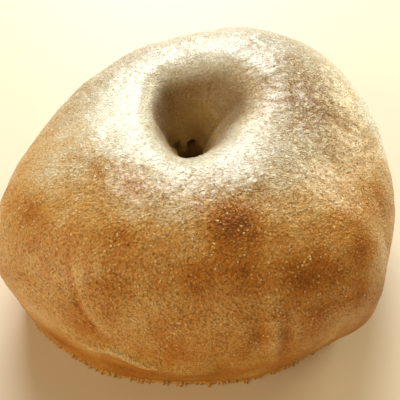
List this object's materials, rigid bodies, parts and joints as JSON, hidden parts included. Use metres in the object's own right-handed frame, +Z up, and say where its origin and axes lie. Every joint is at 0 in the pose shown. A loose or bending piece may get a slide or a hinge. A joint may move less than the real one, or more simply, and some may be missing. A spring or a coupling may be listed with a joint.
{
  "type": "bagel",
  "caption": "Plain uncut bagel: a plump, uneven ring of baked dough with a funnel-shaped, nearly closed hole and a flat base.",
  "frame": {"origin": "middle of the bounding box's foot, on the surface the bagel rests on", "axes": "+Z up through the hole, +Y away from the picture's viewer, +X to the viewer's right"},
  "size_m": [0.0994, 0.1054, 0.0454],
  "materials": {
    "crust": "golden brown baked crust with fine blisters, satin sheen on top"
  },
  "bodies": {
    "root": {"bagel": "crust"}
  },
  "joints": []
}
